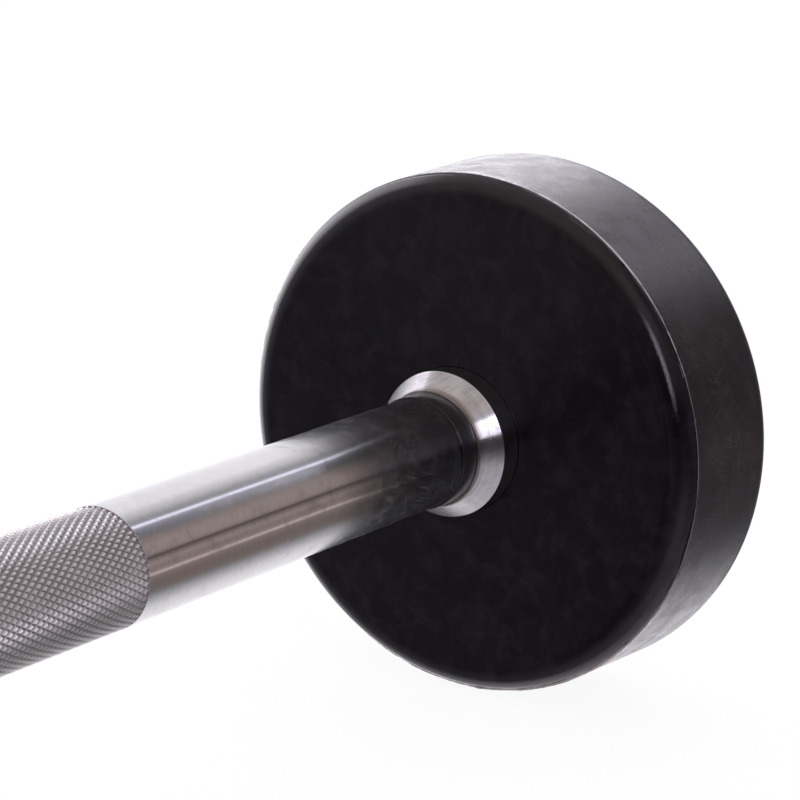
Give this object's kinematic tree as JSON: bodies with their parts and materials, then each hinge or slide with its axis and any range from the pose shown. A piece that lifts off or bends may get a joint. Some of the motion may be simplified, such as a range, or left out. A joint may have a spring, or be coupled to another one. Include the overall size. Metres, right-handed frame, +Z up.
{
  "type": "fixed barbell",
  "caption": "Straight lifting bar with knurled grip bands and a fixed cylindrical rubber-covered weight bolted on each end behind a turned steel collar.",
  "frame": {"origin": "middle of the bar, on its axis", "axes": "+X along the bar, towards the right-hand head; +Z up, with the heads' rims resting below"},
  "size_m": [1, 0.1484, 0.1484],
  "materials": {
    "bar_chrome": "polished chrome plate, diamond-knurled in the grip bands",
    "turned_steel": "bright turned steel with fine tool marks round it",
    "black_rubber": "moulded black rubber, satin, with scuffs and a line of mould flash",
    "cast_core": "bare grey casting, machined in the bores",
    "cap_chrome": "turned and chrome plated",
    "pin_steel": "ground steel",
    "fastener_steel": "bright zinc-plated steel"
  },
  "bodies": {
    "root": {"bar": "bar_chrome", "collar_left": "turned_steel", "collar_right": "turned_steel", "head_core_left": "cast_core", "head_core_right": "cast_core", "rubber_jacket_left": "black_rubber", "rubber_jacket_right": "black_rubber", "lock_pins_left": "pin_steel", "lock_pins_right": "pin_steel", "end_cap_left": "cap_chrome", "end_cap_right": "cap_chrome", "lock_washer_left": "fastener_steel", "lock_washer_right": "fastener_steel", "cap_screw_left": "fastener_steel", "cap_screw_right": "fastener_steel"}
  },
  "joints": []
}
